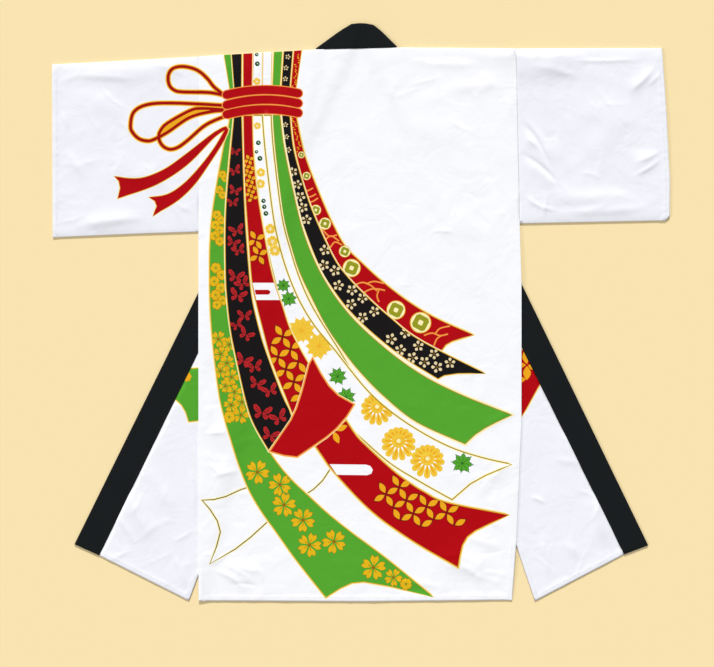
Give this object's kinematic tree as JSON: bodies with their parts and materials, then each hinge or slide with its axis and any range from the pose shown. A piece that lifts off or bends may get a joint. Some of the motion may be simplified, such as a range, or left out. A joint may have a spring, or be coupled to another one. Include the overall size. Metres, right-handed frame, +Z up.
{
  "type": "happi coat",
  "caption": "Long straight-cut happi coat in satin cloth, laid flat back up with both fronts turned out, wide sleeves and a dark collar band.",
  "frame": {"origin": "middle of the laid coat's outline, on the surface that it lies on", "axes": "+X across the coat from the left cuff to the right cuff as seen from above, +Y from the hem to the neck, +Z up"},
  "size_m": [1.2408, 1.1608, 0.0055],
  "materials": {
    "back": "white satin, printed",
    "front_left": "white satin, printed",
    "front_right": "white satin, printed",
    "sleeve_left": "white satin",
    "sleeve_right": "white satin",
    "collar": "black plain weave, matt"
  },
  "bodies": {
    "root": {"back": "back", "front_left": "front_left", "front_right": "front_right", "sleeve_left": "sleeve_left", "sleeve_right": "sleeve_right", "collar": "collar"}
  },
  "joints": []
}
